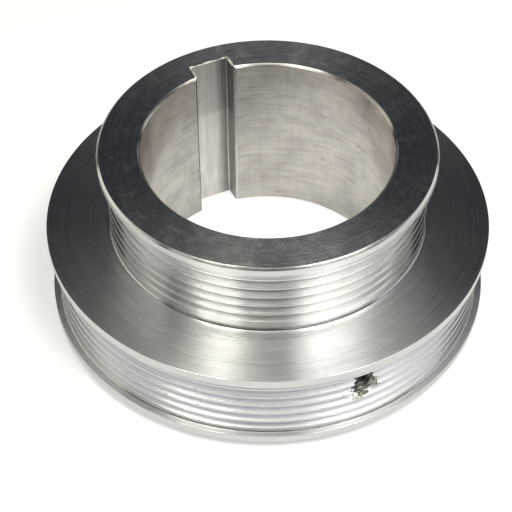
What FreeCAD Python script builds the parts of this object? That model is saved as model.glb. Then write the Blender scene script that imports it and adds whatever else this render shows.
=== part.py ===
"""Stepped poly-V spindle pulley, turned from one piece of aluminium.

The pulley stands on its large end. +Z runs up the bore, the origin is the centre of
the bore on the bottom face, the keyway opens towards +Y and the set-screw hole
runs out along -Y. All sizes are in millimetres.
"""
import FreeCAD, Part
import Sketcher
import os

NODE = "spindle_pulley"

doc = FreeCAD.newDocument("SpindlePulley")
sizes = doc.addObject("Spreadsheet::Sheet", "Sizes")


SIZES = {
    # Bore and keyway
    "bore_dia": 50.0,  # bore that sits on the spindle
    "bore_edge": 0.5,  # 45 degree edge break at both ends of the bore
    "key_width": 8.4,  # width of the keyway
    "key_depth": 3.5,  # depth of the keyway at its middle, beyond the bore
    # Large step, at the bottom
    "large_height": 20.0,  # bottom face to the shoulder face
    "large_rim_dia": 89.7,  # outside diameter of the shoulder land and the flange
    "flange_top": 3.6,  # bottom face to the top of the bottom flange
    "flange_bevel": 2.1,  # 45 degree bevel under the bottom flange
    "large_lead": 1.2,  # land to the middle of the first groove, large step
    # Small step, on top of it
    "small_height": 18.0,  # shoulder face to the top face
    "hub_wall": 1.5,  # metal between the keyway floor and the groove roots, small step
    "small_lead": 1.45,  # land to the middle of the first groove, small step
    # Lands and edges
    "land_height": 1.9,  # height of the plain land above the grooves
    "rim_rise": 1.5,  # how far lands and flange stand out past the ribs
    "top_edge": 0.45,  # edge break round the top land
    # Poly-V grooves
    "groove_count": 6,  # grooves on each step
    "groove_pitch": 2.34,  # middle of one groove to the next
    "groove_depth": 2.0,  # rib tip to groove root
    "groove_angle": 40.0,  # angle between the walls of a groove, in degrees
    "root_width": 0.4,  # flat at the groove root
    "tool_clearance": 0.1,  # how far the groove tool starts outside the ribs
    # Set screw
    "screw_drill": 5.0,  # hole that an M6 thread is cut in
    "screw_height": 12.0,  # bottom face to the middle of the set screw
}
for row, (alias, value) in enumerate(SIZES.items(), 1):
    sizes.set("A%d" % row, alias)
    sizes.set("B%d" % row, str(value))
    sizes.setAlias("B%d" % row, alias)
doc.recompute()

# Levels and radii that several features share
BORE = "Sizes.bore_dia / 2"
SHOULDER = "Sizes.large_height"
TOP = "Sizes.large_height + Sizes.small_height"
LARGE_RIM = "Sizes.large_rim_dia / 2"
LARGE_RIB = "Sizes.large_rim_dia / 2 - Sizes.rim_rise"
SMALL_RIB = BORE + " + Sizes.key_depth + Sizes.hub_wall + Sizes.groove_depth"
SMALL_RIM = SMALL_RIB + " + Sizes.rim_rise"
LARGE_LAND = SHOULDER + " - Sizes.land_height"
SMALL_LAND = TOP + " - Sizes.land_height"

body = doc.addObject("PartDesign::Body", "Pulley")
body.Label = NODE


def value_of(expression):
    """Present value of an expression over the sheet, as a plain number."""
    return float(sizes.evalExpression(expression))


def origin_plane(role):
    """The body's own origin plane with this role."""
    for plane in body.Origin.OriginFeatures:
        if plane.Role == role:
            return plane
    raise RuntimeError("no origin plane " + role)


def new_sketch(name, role):
    """An empty sketch on one of the body's origin planes."""
    sketch = body.newObject("Sketcher::SketchObject", name)
    sketch.AttachmentSupport = [(origin_plane(role), "")]
    sketch.MapMode = "FlatFace"
    return sketch


def draw_outline(sketch, corners):
    """Closed outline of straight lines through corners given as two expressions each.

    A line that keeps one coordinate is held horizontal or vertical and gets one
    dimension from the sketch origin. Whatever is left free at the ends of a sloping
    line gets a dimension of its own.
    """
    count = len(corners)
    points = [FreeCAD.Vector(value_of(x), value_of(y), 0) for x, y in corners]
    for i in range(count):
        sketch.addGeometry(Part.LineSegment(points[i], points[(i + 1) % count]))
    for i in range(count):
        sketch.addConstraint(Sketcher.Constraint("Coincident", i, 2, (i + 1) % count, 1))
    for i in range(count):
        (x, y), (next_x, next_y) = corners[i], corners[(i + 1) % count]
        last_x, last_y = corners[i - 1]
        if x == next_x:
            sketch.addConstraint(Sketcher.Constraint("Vertical", i))
        if y == next_y:
            sketch.addConstraint(Sketcher.Constraint("Horizontal", i))
        if x != last_x:
            dimension(sketch, "DistanceX", i, x)
        if y != last_y:
            dimension(sketch, "DistanceY", i, y)


def dimension(sketch, kind, line, expression):
    """Distance from the sketch origin to the start of a line, bound to the sheet."""
    origin = (-1, 1)
    constraint = Sketcher.Constraint(kind, origin[0], origin[1], line, 1, value_of(expression))
    index = sketch.addConstraint(constraint)
    sketch.setExpression("Constraints[%d]" % index, expression)


def settle(feature, removes=True):
    """Recompute, make the feature the tip and check that it took material away."""
    before = settle.volume
    body.Tip = feature
    doc.recompute()
    settle.volume = feature.Shape.Volume
    if removes and not settle.volume < before:
        raise RuntimeError(feature.Name + " removes nothing")
    return feature


settle.volume = 0.0


def ring_edges(shape, rings):
    """Names of the full-circle edges at each (radius, height) given as expressions."""
    names = []
    for radius, height in rings:
        radius, height = value_of(radius), value_of(height)
        for number, edge in enumerate(shape.Edges, 1):
            curve = edge.Curve
            if not isinstance(curve, Part.Circle):
                continue
            if abs(curve.Radius - radius) < 1e-4 and abs(curve.Center.z - height) < 1e-4:
                names.append("Edge%d" % number)
    if len(names) != len(rings):
        raise RuntimeError("edges not found: %s" % (rings,))
    return names


def edge_break(name, amount, rings):
    """A 45 degree chamfer on the rings of the present tip, its size bound to the sheet."""
    base = body.Tip
    feature = body.newObject("PartDesign::Chamfer", name)
    feature.Base = (base, ring_edges(base.Shape, rings))
    feature.setExpression("Size", amount)
    return feature


# Turned blank
# Both steps, the lands, the bottom flange with its bevel and the bore are one revolved section.
section = new_sketch("BlankSection", "XZ_Plane")
draw_outline(section, [
    (BORE, "0"),
    (LARGE_RIM + " - Sizes.flange_bevel", "0"),
    (LARGE_RIM, "Sizes.flange_bevel"),
    (LARGE_RIM, "Sizes.flange_top"),
    (LARGE_RIB, "Sizes.flange_top"),
    (LARGE_RIB, LARGE_LAND),
    (LARGE_RIM, LARGE_LAND),
    (LARGE_RIM, SHOULDER),
    (SMALL_RIB, SHOULDER),
    (SMALL_RIB, SMALL_LAND),
    (SMALL_RIM, SMALL_LAND),
    (SMALL_RIM, TOP),
    (BORE, TOP),
])
blank = body.newObject("PartDesign::Revolution", "Blank")
blank.Profile = section
blank.ReferenceAxis = (section, ["V_Axis"])
blank.Angle = 360
settle(blank, removes=False)

# Edge breaks
# Finer corners, such as the tool's nose at the foot of the ribs, are left to the finish.
settle(edge_break("BoreEdges", "Sizes.bore_edge", [(BORE, "0"), (BORE, TOP)]))
settle(edge_break("TopEdge", "Sizes.top_edge", [(SMALL_RIM, TOP)]))


def cut_grooves(name, rib, land, lead):
    """One V groove under a land, repeated downwards at the belt's pitch."""
    middle = "%s - %s" % (land, lead)
    root = rib + " - Sizes.groove_depth"
    mouth = rib + " + Sizes.tool_clearance"
    half_root = "Sizes.root_width / 2"
    spread = "(Sizes.groove_depth + Sizes.tool_clearance) * tan(Sizes.groove_angle / 2 * 1 deg)"
    sketch = new_sketch(name + "Section", "XZ_Plane")
    draw_outline(sketch, [
        (root, "%s - %s" % (middle, half_root)),
        (mouth, "%s - %s - %s" % (middle, half_root, spread)),
        (mouth, "%s + %s + %s" % (middle, half_root, spread)),
        (root, "%s + %s" % (middle, half_root)),
    ])
    groove = body.newObject("PartDesign::Groove", name)
    groove.Profile = sketch
    groove.ReferenceAxis = (sketch, ["V_Axis"])
    groove.Angle = 360
    settle(groove)
    row = body.newObject("PartDesign::LinearPattern", name + "Row")
    row.Originals = [groove]
    row.Direction = (sketch, ["V_Axis"])
    row.Reversed = True
    row.Mode = "Spacing"
    row.setExpression("Offset", "Sizes.groove_pitch")
    row.setExpression("Occurrences", "Sizes.groove_count")
    settle(row)


# Poly-V grooves
cut_grooves("SmallGroove", SMALL_RIB, SMALL_LAND, "Sizes.small_lead")
cut_grooves("LargeGroove", LARGE_RIB, LARGE_LAND, "Sizes.large_lead")

# Keyway
# Broached through the whole length. The sketch starts inside the open bore.
key_section = new_sketch("KeywaySection", "XY_Plane")
HALF_KEY = "Sizes.key_width / 2"
KEY_FLOOR = BORE + " + Sizes.key_depth"
draw_outline(key_section, [
    ("-" + HALF_KEY, BORE + " / 2"),
    (HALF_KEY, BORE + " / 2"),
    (HALF_KEY, KEY_FLOOR),
    ("-" + HALF_KEY, KEY_FLOOR),
])
keyway = body.newObject("PartDesign::Pocket", "Keyway")
keyway.Profile = key_section
keyway.Type = "ThroughAll"
keyway.Reversed = True
settle(keyway)

# Set-screw hole
# Drilled from the ribs of the large step into the bore, opposite the keyway.
screw_section = new_sketch("ScrewSection", "XZ_Plane")
screw_centre = FreeCAD.Vector(0, value_of("Sizes.screw_height"), 0)
screw_section.addGeometry(
    Part.Circle(screw_centre, FreeCAD.Vector(0, 0, 1), value_of("Sizes.screw_drill / 2")))
screw_section.addConstraint(Sketcher.Constraint("PointOnObject", 0, 3, -2))
height = screw_section.addConstraint(
    Sketcher.Constraint("DistanceY", -1, 1, 0, 3, value_of("Sizes.screw_height")))
screw_section.setExpression("Constraints[%d]" % height, "Sizes.screw_height")
across = screw_section.addConstraint(
    Sketcher.Constraint("Diameter", 0, value_of("Sizes.screw_drill")))
screw_section.setExpression("Constraints[%d]" % across, "Sizes.screw_drill")
screw_hole = body.newObject("PartDesign::Pocket", "SetScrewHole")
screw_hole.Profile = screw_section
screw_hole.Type = "Length"
screw_hole.setExpression("Length", LARGE_RIM)
screw_hole.Reversed = True
settle(screw_hole)

body.Placement = FreeCAD.Placement(FreeCAD.Vector(0, 0, 0), FreeCAD.Rotation())
doc.recompute()

# Checks before anything is written
for item in doc.Objects:
    if "Invalid" in item.State or "Error" in item.State:
        raise RuntimeError("%s failed: %s" % (item.Name, item.State))
    if item.isDerivedFrom("Sketcher::SketchObject") and not item.FullyConstrained:
        raise RuntimeError(item.Name + " is not fully dimensioned")
if body.Shape.isNull() or not body.Shape.isValid():
    raise RuntimeError("the pulley's shape is not valid")
if len(body.Shape.Solids) != 1:
    raise RuntimeError("the pulley is not one solid")

os.makedirs("parts", exist_ok=True)
body.Shape.exportStep("parts/%s.step" % NODE)
print("%s: volume %.1f mm3, %d faces" % (NODE, body.Shape.Volume, len(body.Shape.Faces)))
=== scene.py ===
"""Looks of a stepped poly-V spindle pulley, turned from one piece of aluminium.

The pulley stands on its large end on a pale studio table. Lengths are in metres, +Z is the
bore axis, the keyway opens towards +Y and the set-screw hole runs out along -Y.
"""

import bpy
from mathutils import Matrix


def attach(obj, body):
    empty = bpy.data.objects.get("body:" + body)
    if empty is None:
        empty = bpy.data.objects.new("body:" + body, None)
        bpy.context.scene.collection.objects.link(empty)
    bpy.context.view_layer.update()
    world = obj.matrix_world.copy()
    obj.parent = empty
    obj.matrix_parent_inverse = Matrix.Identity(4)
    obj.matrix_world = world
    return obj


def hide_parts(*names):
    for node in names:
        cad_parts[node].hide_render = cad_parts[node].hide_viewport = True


bl_info = {
    "name": "Spindle pulley",
    "version": (1, 0, 0),
    "blender": (4, 5, 0),
    "location": "3D View > Sidebar > Pulley",
    "description": "Builds a turned poly-V spindle pulley and the studio it is seen in",
    "category": "Object",
}

import math

import bmesh
import bpy
from bpy.props import FloatProperty, FloatVectorProperty, IntProperty, PointerProperty
from mathutils import Matrix, Vector, noise

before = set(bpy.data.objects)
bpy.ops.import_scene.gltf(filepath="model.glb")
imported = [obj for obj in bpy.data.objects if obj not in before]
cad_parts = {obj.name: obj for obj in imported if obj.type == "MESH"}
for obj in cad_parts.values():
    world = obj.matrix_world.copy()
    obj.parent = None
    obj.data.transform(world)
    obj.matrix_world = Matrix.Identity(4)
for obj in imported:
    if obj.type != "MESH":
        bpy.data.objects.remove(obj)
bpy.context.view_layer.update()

NODE = "spindle_pulley"
MM = 0.001

# The studio stands turned against the pulley, so that its x and y are the camera's right and away
STUDIO_TURN = math.radians(-25.0)


# Small helpers

def linear(hex_colour):
    """Linear RGBA of an sRGB hex colour."""
    channels = [int(hex_colour[i:i + 2], 16) / 255 for i in (0, 2, 4)]
    return [c / 12.92 if c <= 0.04045 else ((c + 0.055) / 1.055) ** 2.4 for c in channels] + [1.0]


def add_node(tree, kind, settings=None, inputs=()):
    """A shader node with its settings and links.

    Inputs go by name or in the node's order. Each is a plain value, a socket to link from, or a
    node whose first output is meant.
    """
    node = tree.nodes.new(kind)
    for name, value in (settings or {}).items():
        setattr(node, name, value)
    for name, value in inputs.items() if isinstance(inputs, dict) else enumerate(inputs):
        if isinstance(value, bpy.types.Node):
            value = value.outputs[0]
        if isinstance(value, bpy.types.NodeSocket):
            tree.links.new(value, node.inputs[name])
        else:
            node.inputs[name].default_value = value
    return node


def empty_material(name):
    """A new material and its node tree, with nothing in it yet."""
    material = bpy.data.materials.new(name)
    material.use_nodes = True
    material.node_tree.nodes.clear()
    return material, material.node_tree


def new_mesh(name, vertices, faces):
    """A mesh of the given points and faces."""
    mesh = bpy.data.meshes.new(name)
    mesh.from_pydata(vertices, [], faces)
    return mesh


def studio(x, y, z):
    """A point given as seen from the camera: x to the right, y away, z up, in metres."""
    return Matrix.Rotation(STUDIO_TURN, 4, "Z") @ Vector((x, y, z))


def on_cylinder(radius, azimuth, height):
    """A point at a radius, an azimuth in degrees and a height."""
    angle = math.radians(azimuth)
    return Vector((radius * math.cos(angle), radius * math.sin(angle), height))


def link(item):
    """Puts an object into the scene's collection."""
    bpy.context.scene.collection.objects.link(item)
    return item


# Sizes and colours

class PulleySizes(bpy.types.PropertyGroup):
    """Sizes of the turned piece, as in its drawing."""

    bore: FloatProperty(name="Bore", description="Diameter of the bore",
                        default=0.050, unit="LENGTH")
    bore_edge: FloatProperty(name="Bore edge", description="Edge break of the bore",
                             default=0.0005, unit="LENGTH")
    key_width: FloatProperty(name="Keyway width", description="Width of the keyway",
                             default=0.0084, unit="LENGTH")
    key_reach: FloatProperty(name="Keyway reach", description="Axis to the keyway floor",
                             default=0.0285, unit="LENGTH")
    height: FloatProperty(name="Height", description="Bottom face to top face",
                          default=0.038, unit="LENGTH")
    shoulder: FloatProperty(name="Shoulder", description="Bottom face to the shoulder",
                            default=0.020, unit="LENGTH")
    large_rim: FloatProperty(name="Large rim", description="Radius of the large land and flange",
                             default=0.04485, unit="LENGTH")
    small_rim: FloatProperty(name="Small rim", description="Radius of the top land",
                             default=0.0335, unit="LENGTH")
    rim_rise: FloatProperty(name="Rim rise", description="Lands stand this far past the ribs",
                            default=0.0015, unit="LENGTH")
    land: FloatProperty(name="Land", description="Height of the plain lands",
                        default=0.0019, unit="LENGTH")
    flange_top: FloatProperty(name="Flange top", description="Bottom face to the flange's top",
                              default=0.0036, unit="LENGTH")
    flange_bevel: FloatProperty(name="Flange bevel", description="Bevel under the flange",
                                default=0.0021, unit="LENGTH")
    top_edge: FloatProperty(name="Top edge", description="Edge break of the top land",
                            default=0.00045, unit="LENGTH")
    fine_edge: FloatProperty(name="Fine edge", description="Rounding of the other turned edges",
                             default=0.00010, unit="LENGTH")
    foot_flare: FloatProperty(name="Foot flare",
                              description="Height of the flare at the foot of the ribs",
                              default=0.0005, unit="LENGTH")
    foot_line: FloatProperty(name="Foot line", description="Width of the line round the foot",
                             default=0.00011, unit="LENGTH")
    pitch: FloatProperty(name="Groove pitch", description="Middle of one groove to the next",
                         default=0.00234, unit="LENGTH")
    groove_depth: FloatProperty(name="Groove depth", description="Rib tip to groove root",
                                default=0.0020, unit="LENGTH")
    root: FloatProperty(name="Root", description="Width of the groove root",
                        default=0.0004, unit="LENGTH")
    small_lead: FloatProperty(name="Small lead", description="Land to first groove, small step",
                              default=0.00145, unit="LENGTH")
    large_lead: FloatProperty(name="Large lead", description="Land to first groove, large step",
                              default=0.0012, unit="LENGTH")
    grooves: IntProperty(name="Grooves", description="Grooves on each step", default=6)
    screw_height: FloatProperty(name="Screw height", description="Bottom face to the set screw",
                                default=0.012, unit="LENGTH")
    thread_radius: FloatProperty(name="Thread radius", description="Radius at the thread's crests",
                                 default=0.0025, unit="LENGTH")
    thread_pitch: FloatProperty(name="Thread pitch", description="Pitch of the M6 thread",
                                default=0.0010, unit="LENGTH")
    segments: IntProperty(name="Segments", description="Steps round the pulley", default=300)


class PulleyColours(bpy.types.PropertyGroup):
    """Colours of the bare metal as each tool left it, and of the table."""

    faced: FloatVectorProperty(name="Faced", description="Shoulder, flange and underside",
                               default=linear("E6E7E9")[:3], subtype="COLOR", min=0, max=1)
    fine_faced: FloatVectorProperty(name="Fine faced", description="Top face",
                                    default=linear("D6D9DE")[:3], subtype="COLOR", min=0, max=1)
    turned: FloatVectorProperty(name="Turned", description="Lands, bevels and small rib crests",
                                default=linear("E8E8E9")[:3], subtype="COLOR", min=0, max=1)
    flank: FloatVectorProperty(name="Groove flank", description="Walls of the small grooves",
                               default=linear("E8E8E9")[:3], subtype="COLOR", min=0, max=1)
    form_turned: FloatVectorProperty(name="Form turned", description="Ribs of the large step",
                                     default=linear("EBECF1")[:3], subtype="COLOR", min=0, max=1)
    bored: FloatVectorProperty(name="Bored", description="Wall of the bore",
                               default=linear("DBD6D2")[:3], subtype="COLOR", min=0, max=1)
    broached: FloatVectorProperty(name="Broached", description="Keyway and its left edge",
                                  default=linear("F5F1EF")[:3], subtype="COLOR", min=0, max=1)
    tapped: FloatVectorProperty(name="Tapped", description="Thread, dents and foot lines",
                                default=linear("C4C6BC")[:3], subtype="COLOR", min=0, max=1)
    torn: FloatVectorProperty(name="Torn", description="Burrs",
                              default=linear("FCFBF8")[:3], subtype="COLOR", min=0, max=1)
    table: FloatVectorProperty(name="Table", description="Table under the pulley",
                               default=linear("B7B9BB")[:3], subtype="COLOR", min=0, max=1)


# Finishes, in the order of the pulley's material slots
FACE, TOP, WALL, FLANK, RIB, BORED, KEYED, THREADED = range(8)

# Roundings of the rib tips, of the groove roots and of edges that the tool left sharp
RIB_TIP, GROOVE_ROOT, SHARP = 0.00008, 0.00026, 0.00001

# Half the angle between the walls of a groove
GROOVE_HALF_ANGLE = math.radians(20)

# Edges that turn by more than this are drawn sharp
CREASE_ANGLE = math.radians(34)

# A section of two rows of grooves has more faces to a segment than this, cut or not
LEAST_FACES = 100

# Filed breaks along the keyway: name, side, width at the top and at the bottom, finish
EDGE_BREAKS = [
    ("left_break", -1, 0.00034, 0.00034, KEYED), ("right_break", 1, 0.00050, 0.00034, WALL),
]

# Burrs: width and height of the ridge, and the place in the noise that its jags come from
KEYWAY_BURR = (0.00056, 0.00024, 1.7)
HOLE_BURR = (0.00055, 0.00040, 4.1)

# Dents: radius of their place in mm, azimuth in degrees, height, half sizes across, along and deep
NICKS = [
    (43.35, -123.3, 15.45, 0.22, 0.16, 0.25), (43.35, -110.4, 15.46, 0.30, 0.14, 0.22),
    (43.35, -108.9, 15.48, 0.20, 0.14, 0.20), (43.35, -106.4, 15.60, 0.20, 0.18, 0.16),
    (43.35, -132.4, 15.45, 0.30, 0.20, 0.24), (43.35, -133.8, 13.55, 0.34, 0.18, 0.18),
    (43.35, -136.9, 15.47, 0.24, 0.16, 0.20), (43.35, -142.3, 8.95, 0.34, 0.22, 0.22),
    (43.35, -133.4, 8.95, 0.38, 0.20, 0.20), (43.35, -147.4, 10.85, 0.36, 0.26, 0.26),
    (43.35, -148.9, 10.95, 0.22, 0.18, 0.22), (43.35, -155.2, 10.85, 0.30, 0.24, 0.26),
    (43.35, -156.4, 11.00, 0.22, 0.18, 0.20), (43.35, -158.8, 10.90, 0.20, 0.18, 0.20),
    (43.35, -119.3, 10.82, 0.24, 0.15, 0.22), (43.35, -98.0, 10.90, 0.16, 0.14, 0.16),
    (43.35, -114.6, 8.95, 0.32, 0.14, 0.16), (43.35, -123.8, 8.95, 0.36, 0.16, 0.16),
    (43.35, -95.4, 13.20, 0.34, 0.22, 0.24), (43.35, -96.2, 11.20, 0.22, 0.20, 0.20),
    (43.35, -86.8, 13.30, 0.16, 0.40, 0.30), (43.35, -86.0, 11.10, 0.15, 0.34, 0.28),
    (32.0, -118.8, 31.95, 0.30, 0.16, 0.16), (32.0, -126.2, 31.70, 0.24, 0.14, 0.16),
    (32.0, -99.5, 27.00, 0.24, 0.14, 0.16), (32.0, -141.0, 24.70, 0.30, 0.16, 0.18),
    (44.85, -128.0, 19.98, 0.28, 0.12, 0.12), (44.85, -150.5, 19.98, 0.24, 0.12, 0.12),
    (44.85, -72.0, 19.98, 0.26, 0.12, 0.12), (44.85, -110.0, 3.58, 0.30, 0.12, 0.14),
    (44.85, -139.0, 3.58, 0.24, 0.12, 0.14), (33.4, -165.5, 37.85, 0.30, 0.14, 0.16),
    (33.4, -100.0, 37.85, 0.20, 0.12, 0.12), (33.4, -62.0, 37.85, 0.26, 0.12, 0.12),
]

# Scratches and nicks on the top face: both ends in mm, width in mm, brightness factor
TOP_SCRATCHES = [
    ((-29.3, -2.6), (-26.5, -1.8), 0.30, 0.45), ((-32.3, -8.2), (-32.0, -8.2), 0.45, 3.2),
    ((-30.0, 12.7), (-28.8, 9.5), 0.22, 1.7), ((-24.3, 17.1), (-21.0, 21.8), 0.20, 1.5),
    ((-19.1, 25.8), (-17.9, 23.9), 0.20, 1.8), ((-25.2, 6.6), (-25.0, 6.0), 0.30, 2.2),
    ((4.5, 29.9), (5.6, 30.1), 0.60, 0.45), ((17.5, 23.3), (18.4, 24.0), 0.30, 0.55),
    ((25.7, 16.9), (27.2, 17.2), 0.26, 1.9), ((25.0, 12.1), (27.8, 12.9), 0.30, 1.7),
    ((27.5, 8.1), (30.2, 8.3), 0.26, 1.8), ((30.6, 5.6), (31.2, 4.2), 0.26, 2.0),
    ((29.6, 0.9), (30.4, 1.5), 0.24, 2.2), ((-19.0, -18.7), (-17.9, -19.8), 0.26, 1.5),
    ((-9.3, -23.3), (-8.8, -24.7), 0.26, 0.5), ((-6.0, -25.8), (-4.8, -26.6), 0.24, 0.5),
    ((5.7, -25.5), (6.4, -25.3), 0.22, 1.9), ((12.0, -27.5), (16.5, -25.4), 0.18, 1.5),
]

# Height of the top face in mm, and the share of a scratch's width that is fully marked
TOP_MM = 38.0
SCRATCH_CORE = 0.4

# Ring on which the size of a grain round the axis is true
GRAIN_RADIUS = 0.033

# The table's glow, where 1 is the white of the picture: for the camera beside the bore and through
# it, with the radii between which it changes, and in mirrors
OPEN_GLOW, BORE_GLOW, MIRRORED_GLOW = 0.48, 0.71, 0.18
BORE_GLOW_SPAN = (0.024, 0.030)


# Turned section

def groove_corners(sizes, rib, land_foot, lead, crest, flank):
    """Corners of one row of grooves, from the lowest to the highest."""
    half_root = sizes.root / 2
    half_mouth = half_root + sizes.groove_depth * math.tan(GROOVE_HALF_ANGLE)
    floor = rib - sizes.groove_depth
    rows = []
    for i in reversed(range(sizes.grooves)):
        middle = land_foot - lead - i * sizes.pitch
        rows += [
            (rib, middle - half_mouth, RIB_TIP, flank),
            (floor, middle - half_root, GROOVE_ROOT, flank),
            (floor, middle + half_root, GROOVE_ROOT, flank),
            (rib, middle + half_mouth, RIB_TIP, crest),
        ]
    return rows


def foot_corners(sizes, rib, face):
    """The foot of a row of ribs: the fine line of the tool's nose, in the tapped finish whose
    painted shade turns it nearly black on the small step, then a flared foot.
    """
    flare, line = sizes.foot_flare, sizes.foot_line
    foot = rib + flare * 0.50
    return [
        (foot + line, face, SHARP, THREADED),
        (foot + line * 0.4, face - line * 0.8, SHARP, THREADED),
        (foot, face + 2 * SHARP, 2 * SHARP, WALL),
        (rib + flare * 0.34, face + flare * 0.22, flare * 0.3, WALL),
        (rib, face + flare, flare * 0.8, WALL),
    ]


def section_corners(sizes):
    """The section as corners: radius, height, rounding and the finish of the line that follows."""
    bore = sizes.bore / 2
    large, small = sizes.large_rim, sizes.small_rim
    large_rib, small_rib = large - sizes.rim_rise, small - sizes.rim_rise
    large_land, small_land = sizes.shoulder - sizes.land, sizes.height - sizes.land
    edge = sizes.fine_edge
    corners = [
        (bore, sizes.bore_edge, edge / 2, WALL),
        (bore + sizes.bore_edge, 0.0, edge / 2, FACE),
        (large - sizes.flange_bevel, 0.0, edge, WALL),
        (large, sizes.flange_bevel, edge, WALL),
        (large, sizes.flange_top, edge, FACE),
    ]
    corners += foot_corners(sizes, large_rib, sizes.flange_top)
    corners += groove_corners(sizes, large_rib, large_land, sizes.large_lead, RIB, RIB)
    corners += [
        (large_rib, large_land, edge, WALL),
        (large, large_land, edge, WALL),
        (large, sizes.shoulder - edge * 0.3, edge / 2, WALL),
        (large - edge * 0.6, sizes.shoulder, edge / 4, FACE),
    ]
    corners += foot_corners(sizes, small_rib, sizes.shoulder)
    corners += groove_corners(sizes, small_rib, small_land, sizes.small_lead, WALL, FLANK)
    corners += [
        (small_rib, small_land, edge, WALL),
        (small, small_land, edge, WALL),
        (small, sizes.height - sizes.top_edge, edge / 2, WALL),
        (small - sizes.top_edge, sizes.height, edge / 2, TOP),
        (bore + sizes.bore_edge, sizes.height, edge, BORED),
        (bore, sizes.height - sizes.bore_edge, edge, BORED),
    ]
    return corners


def rounded(corners, steps=3):
    """The closed section with each corner turned into a short arc: points and line finishes."""
    longest = 0.45  # share of a line that an arc may take up
    points, finishes = [], []
    count = len(corners)
    for i, (radius, height, rounding, finish) in enumerate(corners):
        here = Vector((radius, height))
        back = Vector(corners[i - 1][:2]) - here
        ahead = Vector(corners[(i + 1) % count][:2]) - here
        half = back.angle(ahead) / 2
        reach = min(rounding / math.tan(half), back.length * longest, ahead.length * longest)
        start, end = here + back.normalized() * reach, here + ahead.normalized() * reach
        arc = reach * math.tan(half)
        inward = (back.normalized() + ahead.normalized()).normalized()
        centre = here + inward * arc / math.sin(half)
        turn = (start - centre).angle_signed(end - centre)
        for k in range(steps + 1):
            arm = (start - centre).copy()
            arm.rotate(Matrix.Rotation(-turn * k / steps, 2))
            points.append(centre + arm)
            finishes.append(finish if k == steps else corners[i - 1][3])
    return points, finishes


def turned_mesh(name, points, finishes, segments):
    """Revolves the closed section round the Z axis."""
    count = len(points)
    vertices, faces = [], []
    for j in range(segments):
        angle = 2 * math.pi * j / segments
        c, s = math.cos(angle), math.sin(angle)
        vertices += [(p.x * c, p.x * s, p.y) for p in points]
    for j in range(segments):
        a, b = j * count, ((j + 1) % segments) * count
        for i in range(count):
            k = (i + 1) % count
            faces.append((a + i, b + i, b + k, a + k))
    mesh = new_mesh(name, vertices, faces)
    mesh.polygons.foreach_set("material_index", finishes * segments)
    mesh.update()
    return mesh


# Cutters

def outward(mesh):
    """Turns the faces of a closed mesh outward."""
    edit = bmesh.new()
    edit.from_mesh(mesh)
    bmesh.ops.recalc_face_normals(edit, faces=edit.faces)
    edit.to_mesh(mesh)
    edit.free()


def cutter(name, mesh, finish, materials):
    """An object that a boolean takes away, all of one finish."""
    outward(mesh)
    for material in materials:
        mesh.materials.append(material)
    mesh.polygons.foreach_set("material_index", [finish] * len(mesh.polygons))
    return link(bpy.data.objects.new(name, mesh))


def keyway_mesh(sizes):
    """The broach's path through the whole length, with its small corner radii."""
    half, inner, outer = sizes.key_width / 2, sizes.bore / 4, sizes.key_reach
    corner, past = 0.00025, 0.002
    outline, _ = rounded([(-half, inner, SHARP, 0), (half, inner, SHARP, 0),
                          (half, outer, corner, 0), (-half, outer, corner, 0)])
    count = len(outline)
    vertices = [(p.x, p.y, z) for z in (-past, sizes.height + past) for p in outline]
    faces = [tuple(range(count))[::-1], tuple(range(count, 2 * count))]
    faces += [(i, (i + 1) % count, (i + 1) % count + count, i + count) for i in range(count)]
    return new_mesh("keyway_cut", vertices, faces)


def edge_break_mesh(sizes, side, wide_top, wide_bottom):
    """A filed break along one edge of the keyway, from past the top face to past the bottom."""
    above, below, free_reach, overlap = 0.0005, 0.001, 0.0003, 0.3
    reach, edge_x = sizes.bore / 2, sizes.key_width / 2
    vertices = []
    for wide, height in ((wide_top, sizes.height + above), (wide_bottom, -below)):
        wall = Vector((edge_x, math.sqrt(reach ** 2 - edge_x ** 2) + wide))
        bored = Vector((edge_x + wide, math.sqrt(reach ** 2 - (edge_x + wide) ** 2)))
        past = (wall - bored) * overlap
        free = Vector((edge_x - wide - free_reach, bored.y - wide - free_reach))
        vertices += [(side * p.x, p.y, height) for p in (wall + past, bored - past, free)]
    return new_mesh("edge_break_cut", vertices,
                    [(0, 1, 2), (3, 4, 5), (0, 1, 4, 3), (1, 2, 5, 4), (2, 0, 3, 5)])


def nick_mesh():
    """Small dents that handling left along the edges of the ribs, each tilted its own way."""
    edit = bmesh.new()
    for radius, azimuth, height, across, along, deep in NICKS:
        place = Matrix.Translation(on_cylinder(radius * MM, azimuth, height * MM))
        turn = Matrix.Rotation(math.radians(azimuth), 4, "Z")
        tilt = Matrix.Rotation(math.radians(azimuth * 7 % 60 - 30), 4, "X")
        shape = Matrix.Diagonal((deep * MM, across * MM, along * MM, 1.0))
        bmesh.ops.create_icosphere(edit, subdivisions=1, radius=1.0,
                                   matrix=place @ turn @ tilt @ shape)
    mesh = bpy.data.meshes.new("nick_cut")
    edit.to_mesh(mesh)
    edit.free()
    return mesh


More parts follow.
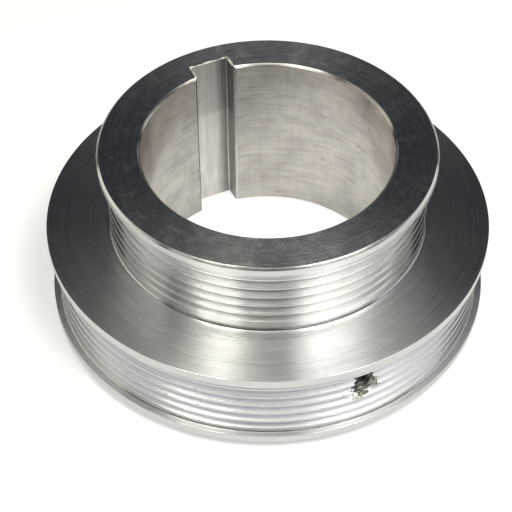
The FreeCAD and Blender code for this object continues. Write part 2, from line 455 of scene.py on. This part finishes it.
def thread_mesh(sizes):
    """A threaded plug along -Y, ragged and torn wider below where it leaves the ribs."""
    around, per_turn = 40, 8
    start, end = -0.020, -0.047
    mouth_start, mouth_length = 0.0405, 0.0015
    depth, ragged_depth, torn_depth = 0.00050, 0.00045, 0.00030
    rags_round, rags_along = 2.6, 900
    rows = int((start - end) / sizes.thread_pitch * per_turn)
    vertices, faces = [], []
    for i in range(rows + 1):
        y = start + (end - start) * i / rows
        mouth = max(0.0, min(1.0, (-y - mouth_start) / mouth_length))
        for j in range(around):
            angle = 2 * math.pi * j / around
            c, s = math.cos(angle), math.sin(angle)
            phase = (-y / sizes.thread_pitch + j / around) % 1.0
            radius = sizes.thread_radius + depth * (1 - abs(2 * phase - 1))
            ragged = noise.noise(Vector((c * rags_round, y * rags_along, s * rags_round)))
            radius += (ragged * ragged_depth + max(0.0, -s) * torn_depth) * mouth
            vertices.append((radius * c, y, sizes.screw_height + radius * s))
    for i in range(rows):
        for j in range(around):
            k = (j + 1) % around
            faces.append((i * around + j, i * around + k,
                          (i + 1) * around + k, (i + 1) * around + j))
    faces.append(tuple(range(around))[::-1])
    faces.append(tuple(rows * around + j for j in range(around)))
    return new_mesh("thread_cut", vertices, faces)


def cut_away(item, tools):
    """Takes each tool away from the object and removes the tools."""
    for tool in tools:
        step = item.modifiers.new(tool.name, "BOOLEAN")
        step.operation = "DIFFERENCE"
        step.solver = "EXACT"
        step.object = tool
    bpy.context.view_layer.update()
    seen = item.evaluated_get(bpy.context.evaluated_depsgraph_get())
    shaped = bpy.data.meshes.new_from_object(seen)
    item.modifiers.clear()
    item.data = shaped
    for tool in tools:
        bpy.data.objects.remove(tool)


# Burrs

def burr_mesh(name, path, width, height, seed):
    """A jagged thin ridge along a path of points, each with the ridge's side and its way up.

    Slow noise along the path makes dashes, quicker noise the jags and the change in width.
    """
    vertices, faces = [], []
    for i, (point, side, rise) in enumerate(path):
        dash = max(0.08, min(1.0, 0.75 + 3.0 * noise.noise(Vector((i * 0.21, seed, 0.0)))))
        tall = height * (dash + 0.4 * noise.noise(Vector((i * 1.3, seed, 5.0))))
        uneven = 1.0 + 0.5 * noise.noise(Vector((i * 0.8, seed, 9.0)))
        wide = width * (0.3 + 0.7 * dash) * uneven
        foot = point - rise * width * 0.05
        vertices += [foot - side * wide / 2, foot + side * wide / 2, point + rise * tall]
    for i in range(len(path) - 1):
        a, b = i * 3, i * 3 + 3
        faces += [(a, a + 2, b + 2, b), (a + 2, a + 1, b + 1, b + 2), (a + 1, a, b, b + 1)]
    last = len(vertices) - 3
    faces += [(0, 1, 2), (last, last + 2, last + 1)]
    mesh = new_mesh(name, vertices, faces)
    outward(mesh)
    return mesh


def keyway_burr(sizes):
    """The path of the burr round the keyway's mouth on the top face."""
    step_length = 0.00018
    half, outer = sizes.key_width / 2, sizes.key_reach
    start = math.sqrt((sizes.bore / 2 + sizes.bore_edge) ** 2 - half ** 2)
    corners = [Vector((x, y, sizes.height))
               for x, y in ((-half, start), (-half, outer), (half, outer), (half, start))]
    up, path = Vector((0, 0, 1)), []
    for first, second in zip(corners, corners[1:]):
        run = second - first
        steps = int(run.length / step_length)
        side = run.normalized().cross(up)
        path += [(first + run * k / steps, side, up) for k in range(steps)]
    return path


def hole_burr(sizes):
    """The path of the torn lip under the tapped hole, from its left to its lowest point."""
    start, end, steps = 200, 262, 30
    outside_thread = 0.0006
    reach, path = sizes.thread_radius + outside_thread, []
    rib = sizes.large_rim - sizes.rim_rise
    for k in range(steps + 1):
        angle = math.radians(start + (end - start) * k / steps)
        x, z = reach * math.cos(angle), sizes.screw_height + reach * math.sin(angle)
        point = Vector((x, -math.sqrt(rib ** 2 - x ** 2), z))
        path.append((point, Vector((math.cos(angle), 0, math.sin(angle))), Vector((0, -1, 0))))
    return path


# Finishes

def position(tree, name):
    """One number for where the shaded point is: X, Y or Z of the piece, or its radius."""
    place = add_node(tree, "ShaderNodeTexCoord").outputs["Object"]
    if name != "radius":
        return add_node(tree, "ShaderNodeSeparateXYZ", inputs=(place,)).outputs[name]
    flat = add_node(tree, "ShaderNodeVectorMath", {"operation": "MULTIPLY"}, (place, (1, 1, 0)))
    return add_node(tree, "ShaderNodeVectorMath", {"operation": "LENGTH"},
                    (flat,)).outputs["Value"]


def turned_grain(tree, across_mm, along_mm):
    """A vector for noise that runs round the axis, with its grain size across and along the cut.

    It uses the direction from the axis instead of an angle, so it has no seam.
    """
    place = add_node(tree, "ShaderNodeTexCoord").outputs["Object"]
    flat = add_node(tree, "ShaderNodeVectorMath", {"operation": "MULTIPLY"}, (place, (1, 1, 0)))
    heading = add_node(tree, "ShaderNodeVectorMath", {"operation": "NORMALIZE"}, (flat,))
    around = GRAIN_RADIUS / (along_mm * MM)
    rim = add_node(tree, "ShaderNodeVectorMath", {"operation": "MULTIPLY"},
                   (heading, (around, around, 0)))
    both = add_node(tree, "ShaderNodeMath", {"operation": "ADD"},
                    (position(tree, "radius"), position(tree, "Z")))
    across = add_node(tree, "ShaderNodeMath", {"operation": "DIVIDE"}, (both, across_mm * MM))
    lift = add_node(tree, "ShaderNodeCombineXYZ", inputs={"Z": across})
    return add_node(tree, "ShaderNodeVectorMath", {"operation": "ADD"}, (rim, lift))


def even_grain(tree, size_mm):
    """A vector for noise with the same grain size every way."""
    place = add_node(tree, "ShaderNodeTexCoord").outputs["Object"]
    return add_node(tree, "ShaderNodeVectorMath", {"operation": "MULTIPLY"},
                    (place, [1 / (size_mm * MM)] * 3))


def cloud(tree, grain, detail=2.0):
    """Noise from 0 to 1 along a grain: one size in mm, or a size across and one along the cut."""
    vector = turned_grain(tree, *grain) if isinstance(grain, tuple) else even_grain(tree, grain)
    return add_node(tree, "ShaderNodeTexNoise", inputs={
        "Vector": vector, "Scale": 1.0, "Detail": detail, "Roughness": 0.6}).outputs["Fac"]


def product(tree, value, marks):
    """A value times one factor for each kind of mark: its grain, noise span and factors.

    Where there are no marks it stays a plain number, for the shader's own socket.
    """
    for grain, span, factors, *detail in marks:
        factor = add_node(tree, "ShaderNodeMapRange",
                          inputs=(cloud(tree, grain, *detail), *span, *factors))
        value = add_node(tree, "ShaderNodeMath", {"operation": "MULTIPLY"}, (value, factor))
    return value


def scratched(tree, value, scratches):
    """A value changed along straight scratches on the top face: two ends in mm, width, factor."""
    place = add_node(tree, "ShaderNodeTexCoord").outputs["Object"]
    for (x0, y0), (x1, y1), width_mm, factor in scratches:
        first = Vector((x0, y0, TOP_MM)) * MM
        run = Vector((x1, y1, TOP_MM)) * MM - first
        arm = add_node(tree, "ShaderNodeVectorMath", {"operation": "SUBTRACT"}, (place, first))
        reach = add_node(tree, "ShaderNodeVectorMath", {"operation": "DOT_PRODUCT"}, (arm, run))
        share = add_node(tree, "ShaderNodeMath", {"operation": "DIVIDE", "use_clamp": True},
                         (reach.outputs["Value"], run.length_squared))
        nearest = add_node(tree, "ShaderNodeVectorMath", {"operation": "SCALE"},
                           {0: run, "Scale": share})
        away = add_node(tree, "ShaderNodeVectorMath", {"operation": "DISTANCE"}, (arm, nearest))
        half = width_mm * MM / 2
        change = add_node(tree, "ShaderNodeMapRange", inputs=(
            away.outputs["Value"], half * SCRATCH_CORE, half, factor, 1.0))
        value = add_node(tree, "ShaderNodeMath", {"operation": "MULTIPLY"}, (value, change))
    return value


def metal(name, colour, roughness, stretch, lines, shades, dulls=(), scratches=(), painted_light_and_stains=()):
    """Bare aluminium whose tool marks run round the axis.

    The marks stretch every reflection across themselves, which is a quarter turn from the
    tangent round the axis, so flat faces show fans of light. The colour is linear. Lines give
    the grain and depth of the tool marks, shades vary the colour and dulls the roughness; the
    colour also changes from one place to another along X, Y, Z or the radius, mostly as painted
    shade and once as a painted highlight.
    """
    material, tree = empty_material(name)
    grain, depth = lines
    bump = add_node(tree, "ShaderNodeBump", inputs={
        "Strength": 1.0, "Distance": depth, "Height": cloud(tree, grain, 3.0)})
    shade = scratched(tree, product(tree, 1.0, shades), scratches)
    # Painted shade, and one painted highlight, set by where the point lies along X, Y, Z or the
    # radius
    for axis, span, factors in painted_light_and_stains:
        painted_light_and_stain = add_node(tree, "ShaderNodeMapRange",
                         inputs=(position(tree, axis), *span, *factors))
        shade = add_node(tree, "ShaderNodeMath", {"operation": "MULTIPLY"}, (shade, painted_light_and_stain))
    tint = add_node(tree, "ShaderNodeVectorMath", {"operation": "SCALE"},
                    {0: colour, "Scale": shade})
    around = add_node(tree, "ShaderNodeTangent", {"direction_type": "RADIAL", "axis": "Z"})
    surface = add_node(tree, "ShaderNodeBsdfPrincipled", inputs={
        "Base Color": tint, "Metallic": 1.0, "Roughness": product(tree, roughness, dulls),
        "Anisotropic": stretch, "Anisotropic Rotation": 0.25, "Tangent": around, "Normal": bump})
    add_node(tree, "ShaderNodeOutputMaterial", inputs={"Surface": surface})
    return material


def turned_finishes(colours):
    """The pulley's finishes, in the order of the slots."""
    wide, crisp = (0.3, 0.7), (0.40, 0.60)
    return [
        # Faced with a coarse feed: dark from the side, warm fans of light in front, ringed like a
        # record
        metal("Aluminium, faced", colours.faced, 0.28, 0.94, ((0.16, 14.0), 0.0000007),
              [((0.24, 7.0), crisp, (0.93, 1.06)), ((0.9, 60.0), crisp, (0.97, 1.03)),
               (7.0, wide, (0.94, 1.06)), (0.30, wide, (0.92, 1.09)),
               (0.5, (0.72, 0.78), (1.0, 0.7))],
              [((0.5, 40.0), wide, (0.96, 1.05))]),
        # Fine faced and handled: blue charcoal, with dull patches, specks and light scratches
        metal("Aluminium, fine faced", colours.fine_faced, 0.25, 0.80, ((0.16, 30.0), 0.000002),
              [((0.25, 25.0), crisp, (0.92, 1.08)), (2.2, wide, (0.88, 1.10)),
               (0.40, crisp, (0.86, 1.16)), (0.50, (0.62, 0.70), (1.0, 1.8)),
               ((0.35, 5.0), (0.60, 0.70), (1.0, 1.5)), (4.5, (0.53, 0.62), (1.0, 1.3), 8.0)],
              [(0.9, wide, (0.95, 1.06))], TOP_SCRATCHES),
        # Turned lands, bevels and crests of the small ribs: a soft clean sheen with faint rings
        metal("Aluminium, turned", colours.turned, 0.225, 0.86, ((0.12, 40.0), 0.0000008),
              [((0.22, 30.0), wide, (0.96, 1.03)), (1.6, wide, (0.97, 1.03)),
               (0.45, (0.70, 0.78), (1.0, 0.78))],
              [((0.3, 30.0), wide, (0.95, 1.06))]),
        # Flanks of the small grooves: cleaner than the lands, they mirror the faced disc below
        metal("Aluminium, groove flank", colours.flank, 0.17, 0.86, ((0.12, 40.0), 0.0000006),
              [((0.22, 30.0), wide, (0.96, 1.03)), (1.6, wide, (0.97, 1.03))],
              [((0.3, 30.0), wide, (0.95, 1.06))]),
        # Large ribs from a form tool: the brightest and smoothest metal, satin across
        metal("Aluminium, form turned", colours.form_turned, 0.28, 0.77,
              ((0.10, 40.0), 0.000001),
              [((0.20, 24.0), wide, (0.97, 1.02)), (1.4, wide, (0.97, 1.03)),
               (0.40, (0.70, 0.77), (1.0, 0.74))],
              [((0.3, 30.0), wide, (0.94, 1.07))]),
        # Bored wall: warm grey, ringed by the tool, smudged and faintly streaked by its spindle,
        # with painted shade that makes it a little darker towards -X
        metal("Aluminium, bored", colours.bored, 0.24, 0.60, ((0.18, 30.0), 0.000002),
              [((0.30, 24.0), crisp, (0.96, 1.04)), ((1.8, 20.0), wide, (0.92, 1.07)),
               ((16.0, 0.5), wide, (0.95, 1.05)), (5.5, wide, (0.86, 1.10)),
               ((0.7, 6.0), (0.58, 0.68), (1.0, 0.84)), ((9.0, 0.35), (0.62, 0.70), (1.0, 0.88))],
              [(4.0, wide, (0.9, 1.12))], painted_light_and_stains=[("X", (0.006, 0.017), (0.91, 1.0))]),
        # Broached keyway: streaked along its length and darker towards the top; painted shade
        # darkens the right of its floor, its walls and most of all its left edge, and a painted
        # highlight runs along the floor's right corner
        metal("Aluminium, broached", colours.broached, 0.36, 0.0, ((14.0, 0.25), 0.000003),
              [((18.0, 0.35), wide, (0.88, 1.08)), ((9.0, 1.4), wide, (0.92, 1.06)),
               (3.0, wide, (0.94, 1.04))],
              [((14.0, 0.6), wide, (0.85, 1.15))],
              painted_light_and_stains=[("X", (0.0012, 0.0030), (1.0, 0.60)), ("X", (-0.0041, -0.0042), (1.0, 0.4)),
                      ("X", (0.0038, 0.0041), (1.0, 1.55)), ("Y", (0.0284, 0.0281), (1.0, 0.55)),
                      ("Z", (0.0232, 0.0250), (1.0, 0.76))]),
        # Tapped hole, and the dents and foot lines: torn and bright at the large ribs; painted
        # shade makes them nearly black nearer the axis, deep in the hole and on the small step
        metal("Aluminium, tapped", colours.tapped, 0.42, 0.0, (0.6, 0.000010),
              [(0.8, wide, (0.45, 1.25))], painted_light_and_stains=[("radius", (0.0375, 0.0418), (0.08, 1.0))]),
    ]


def torn_finish(colour):
    """Torn edges: small bright facets that catch the light from every side."""
    return metal("Aluminium, torn edge", colour, 0.75, 0.0, (0.2, 0.000008),
                 [(0.4, (0.3, 0.7), (0.75, 1.1))])


# Operators

class OBJECT_OT_pulley_body(bpy.types.Operator):
    """Build the turned pulley with its keyway and its tapped hole."""

    bl_idname = "object.pulley_body"
    bl_label = "Pulley body"

    def execute(self, context):
        sizes = context.scene.pulley_sizes
        materials = turned_finishes(context.scene.pulley_colours)
        points, finishes = rounded(section_corners(sizes))
        mesh = turned_mesh("pulley", points, finishes, sizes.segments)
        for material in materials:
            mesh.materials.append(material)
        pulley = link(bpy.data.objects.new("pulley", mesh))
        tools = [cutter("keyway_cut", keyway_mesh(sizes), KEYED, materials)]
        for name, side, wide_top, wide_bottom, finish in EDGE_BREAKS:
            mesh = edge_break_mesh(sizes, side, wide_top, wide_bottom)
            tools.append(cutter(name, mesh, finish, materials))
        tools.append(cutter("nick_cut", nick_mesh(), THREADED, materials))
        tools.append(cutter("thread_cut", thread_mesh(sizes), THREADED, materials))
        cut_away(pulley, tools)
        for face in pulley.data.polygons:
            face.use_smooth = True
        pulley.data.set_sharp_from_angle(angle=CREASE_ANGLE)
        even = pulley.modifiers.new("even_shading", "WEIGHTED_NORMAL")
        even.keep_sharp = True
        even.weight = 80
        if len(pulley.data.polygons) < sizes.segments * LEAST_FACES:
            raise RuntimeError("the pulley's mesh lost faces while it was cut")
        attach(pulley, "root")
        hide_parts(NODE)
        return {"FINISHED"}


class OBJECT_OT_pulley_burrs(bpy.types.Operator):
    """Add the burrs at the keyway's mouth and round the tapped hole."""

    bl_idname = "object.pulley_burrs"
    bl_label = "Burrs"

    def execute(self, context):
        sizes = context.scene.pulley_sizes
        torn = torn_finish(context.scene.pulley_colours.torn)
        for name, path, ridge in (("keyway_burr", keyway_burr(sizes), KEYWAY_BURR),
                                  ("hole_burr", hole_burr(sizes), HOLE_BURR)):
            burr = link(bpy.data.objects.new(name, burr_mesh(name, path, *ridge)))
            burr.data.materials.append(torn)
            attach(burr, "root")
        return {"FINISHED"}


class SCENE_OT_pulley_studio(bpy.types.Operator):
    """Set up the table, the softboxes, the camera and the surroundings."""

    bl_idname = "scene.pulley_studio"
    bl_label = "Studio"

    def execute(self, context):
        table = studio_table(context.scene.pulley_colours.table)
        cloth = dark_cloth()
        lights = studio_lights()
        surroundings(context.scene)
        studio_camera(context.scene)
        return {"FINISHED"}


# Studio

def panel(name, centre, facing, size, radiance, colour="FFFFFF"):
    """A softbox at a studio point. Radiance 1 is as bright as white paper in the picture."""
    watts_per_area = 4.0  # what a rectangular area lamp needs for a radiance of 1
    light = bpy.data.lights.new(name, "AREA")
    light.shape = "RECTANGLE"
    light.size, light.size_y = size
    light.energy = radiance * watts_per_area * light.size * light.size_y
    light.color = linear(colour)[:3]
    lamp = link(bpy.data.objects.new(name, light))
    back = -studio(*facing).normalized()
    up = studio(0, 1, 0) if abs(back.z) > 0.9 else Vector((0, 0, 1))
    side = up.cross(back).normalized()
    turn = Matrix((side, back.cross(side), back)).transposed().to_4x4()
    lamp.matrix_world = Matrix.Translation(studio(*centre)) @ turn
    return lamp


# Softboxes of the roof, 0.6 m up: middle in metres to the right and away, size, radiance
ROOF_HEIGHT = 0.60
ROOF_PANELS = [
    ("key_left", (-0.25, -0.30), (0.20, 0.20), 2.9),
    ("key_right", (0.25, -0.30), (0.20, 0.20), 5.4),
    ("side_right", (0.46, -0.23), (0.32, 0.34), 2.5),
    ("front_middle", (0.0, -0.30), (0.30, 0.20), 0.93),
    ("lamp_left", (-0.125, -0.13), (0.04, 0.14), 12.6),
    ("lamp_left_far", (-0.0825, 0.0), (0.045, 0.12), 12.0),
    ("lamp_left_side", (-0.125, 0.0), (0.04, 0.12), 7.3),
    ("left_wide", (-0.24, -0.13), (0.08, 0.14), 7.6),
    ("lamp_right", (0.1525, 0.0), (0.095, 0.12), 5.0),
    ("lamp_right_far", (0.0825, 0.12), (0.045, 0.12), 3.1),
    ("right_wide", (0.24, -0.13), (0.08, 0.14), 5.1),
    ("middle_left", (-0.03, -0.13), (0.06, 0.14), 3.7),
    ("middle_right", (0.0525, -0.13), (0.105, 0.14), 1.75),
    ("roof_left", (-0.41, 0.06), (0.42, 0.24), 0.54),
    ("roof_right", (0.41, 0.06), (0.42, 0.24), 0.78),
    ("roof_back", (0.0, 0.27), (1.24, 0.18), 0.17),
]

# Softboxes of the walls: middle, facing, size, radiance and colour
WALL_PANELS = [
    ("wall_left_low", (-0.62, 0.10, 0.165), (1, 0, 0), (0.70, 0.27), 0.75, "FFFDEE"),
    ("wall_left_high", (-0.62, 0.10, 0.45), (1, 0, 0), (0.70, 0.30), 0.25, "FFFDEE"),
    ("front_left", (-0.60, -0.42, 0.54), (0.60, 0.42, -0.54), (0.22, 0.26), 0.55, "FFFDEE"),
    ("wall_right_low", (0.62, 0.10, 0.165), (-1, 0, 0), (0.70, 0.27), 0.70, "FFFFFF"),
    ("front_right", (0.36, -0.62, 0.20), (0, 1, 0), (0.50, 0.30), 0.30, "FFFFFF"),
    ("back_low", (0.0, 0.50, 0.125), (0, -1, 0), (0.90, 0.19), 0.20, "F8FAFF"),
    ("back_high", (0.0, 0.50, 0.40), (0, -1, 0), (0.90, 0.36), 0.020, "F0F4FF"),
]


def studio_lights():
    """A light tent of softboxes, brightest above the camera and dark where the camera looks out.

    One more lamp shines on the table alone and gives the soft shade to the left of the pulley;
    the metal doesn't mirror it.
    """
    roof = [panel(name, (x, y, ROOF_HEIGHT), (0, 0, -1), size, radiance,
                  "FFFCEC" if x < 0 else "FFFDF2")
            for name, (x, y), size, radiance in ROOF_PANELS]
    shade_lamp = panel("table_right", (0.180, -0.265, ROOF_HEIGHT), (0, 0, -1), (0.20, 0.20),
                       17.0, "FFFBEC")
    shade_lamp.visible_glossy = False
    return roof + [shade_lamp] + [panel(*row) for row in WALL_PANELS]


def studio_table(colour):
    """Pale table under the pulley.

    For the camera it glows to the picture's white where no shadow falls, and a little more
    through the bore; in mirrors it glows only faintly.
    """
    half = 0.45
    mesh = new_mesh("table", [(-half, -half, 0), (half, -half, 0), (half, half, 0),
                              (-half, half, 0)], [(0, 1, 2, 3)])
    # Painted board: flat and matt, so the shade on it stays soft and nothing glints
    material, tree = empty_material("Board, painted white")
    path = add_node(tree, "ShaderNodeLightPath").outputs
    paper = add_node(tree, "ShaderNodeBsdfDiffuse", inputs={"Color": (*colour, 1.0)})
    glow_here = add_node(tree, "ShaderNodeMapRange", inputs=(
        position(tree, "radius"), *BORE_GLOW_SPAN, BORE_GLOW, OPEN_GLOW))
    seen = add_node(tree, "ShaderNodeMath", {"operation": "MULTIPLY"},
                    (path["Is Camera Ray"], glow_here))
    mirrored = add_node(tree, "ShaderNodeMath", {"operation": "ADD"},
                        (path["Is Glossy Ray"], path["Is Transmission Ray"]))
    glow = add_node(tree, "ShaderNodeMath", {"operation": "MULTIPLY_ADD"},
                    (mirrored, MIRRORED_GLOW, seen))
    lit = add_node(tree, "ShaderNodeEmission",
                   inputs={"Color": linear("FFFFFF"), "Strength": glow})
    both = add_node(tree, "ShaderNodeAddShader", inputs=(paper, lit))
    add_node(tree, "ShaderNodeOutputMaterial", inputs={"Surface": both})
    mesh.materials.append(material)
    return link(bpy.data.objects.new("table", mesh))


def dark_cloth():
    """Dark cloth hung round the lamps for the metal to mirror; the camera looks through it."""
    across, away, up = (-0.80, 0.80), (-0.80, 0.70), (-0.10, 0.75)
    corners = [studio(across[i & 1], away[i >> 1 & 1], up[i >> 2]) for i in range(8)]
    mesh = new_mesh("dark_cloth", corners, [(0, 2, 3, 1), (4, 5, 7, 6), (0, 1, 5, 4),
                                            (2, 6, 7, 3), (0, 4, 6, 2), (1, 3, 7, 5)])
    # Woven cotton: nearly black and even, so the metal between the softboxes turns dark
    material, tree = empty_material("Cotton, woven black")
    dim = add_node(tree, "ShaderNodeEmission",
                   inputs={"Color": linear("1D1E20"), "Strength": 1.0})
    add_node(tree, "ShaderNodeOutputMaterial", inputs={"Surface": dim})
    material.cycles.emission_sampling = "NONE"
    mesh.materials.append(material)
    cloth = link(bpy.data.objects.new("dark_cloth", mesh))
    cloth.visible_camera = False
    return cloth


def surroundings(scene):
    """White all round to the camera and in mirrors, dim to the rest; the dark cloth is nearer."""
    world = bpy.data.worlds.new("studio")
    world.use_nodes = True
    tree = world.node_tree
    tree.nodes.clear()
    path = add_node(tree, "ShaderNodeLightPath").outputs
    dim, white = (add_node(tree, "ShaderNodeBackground",
                           inputs={"Color": linear(colour), "Strength": 1.0})
                  for colour in ("242527", "FFFFFF"))
    mirrored = add_node(tree, "ShaderNodeMath", {"operation": "ADD"},
                        (path["Is Glossy Ray"], path["Is Transmission Ray"]))
    seen = add_node(tree, "ShaderNodeMath", {"operation": "ADD"},
                    (path["Is Camera Ray"], mirrored))
    mix = add_node(tree, "ShaderNodeMixShader", inputs=(seen, dim, white))
    add_node(tree, "ShaderNodeOutputWorld", inputs={"Surface": mix})
    scene.world = world
    scene.view_settings.view_transform = "Standard"


def studio_camera(scene):
    """The camera, found from the turned circles: 109 mm lens, 282 mm from the top face."""
    data = bpy.data.cameras.new("camera")
    data.sensor_width = 36.0
    data.lens = 109.22
    data.clip_start = 0.01
    camera = link(bpy.data.objects.new("camera", data))
    camera.location = studio(-0.00230, -0.22654, 0.24071)
    aim = studio(-0.00239, -0.03012, 0.03809)
    look = (aim - camera.location).to_track_quat("-Z", "Y")
    roll = Matrix.Rotation(math.radians(-0.33), 4, "Z")
    camera.rotation_euler = (look.to_matrix().to_4x4() @ roll).to_euler()
    scene.camera = camera


# Panel and registration

class VIEW3D_PT_pulley(bpy.types.Panel):
    """Sidebar panel with the pulley's sizes, colours and build steps."""

    bl_label = "Spindle pulley"
    bl_idname = "VIEW3D_PT_pulley"
    bl_space_type = "VIEW_3D"
    bl_region_type = "UI"
    bl_category = "Pulley"

    def draw(self, context):
        column = self.layout.column()
        for group in (context.scene.pulley_sizes, context.scene.pulley_colours):
            for name in type(group).__annotations__:
                column.prop(group, name)
        for step in (OBJECT_OT_pulley_body, OBJECT_OT_pulley_burrs, SCENE_OT_pulley_studio):
            column.operator(step.bl_idname)


CLASSES = (PulleySizes, PulleyColours, OBJECT_OT_pulley_body, OBJECT_OT_pulley_burrs,
           SCENE_OT_pulley_studio, VIEW3D_PT_pulley)


def register():
    for item in CLASSES:
        bpy.utils.register_class(item)
    bpy.types.Scene.pulley_sizes = PointerProperty(type=PulleySizes)
    bpy.types.Scene.pulley_colours = PointerProperty(type=PulleyColours)


def unregister():
    del bpy.types.Scene.pulley_colours
    del bpy.types.Scene.pulley_sizes
    for item in reversed(CLASSES):
        bpy.utils.unregister_class(item)


def main():
    register()
    bpy.ops.object.pulley_body()
    bpy.ops.object.pulley_burrs()
    bpy.ops.scene.pulley_studio()


if __name__ == "__main__":
    main()
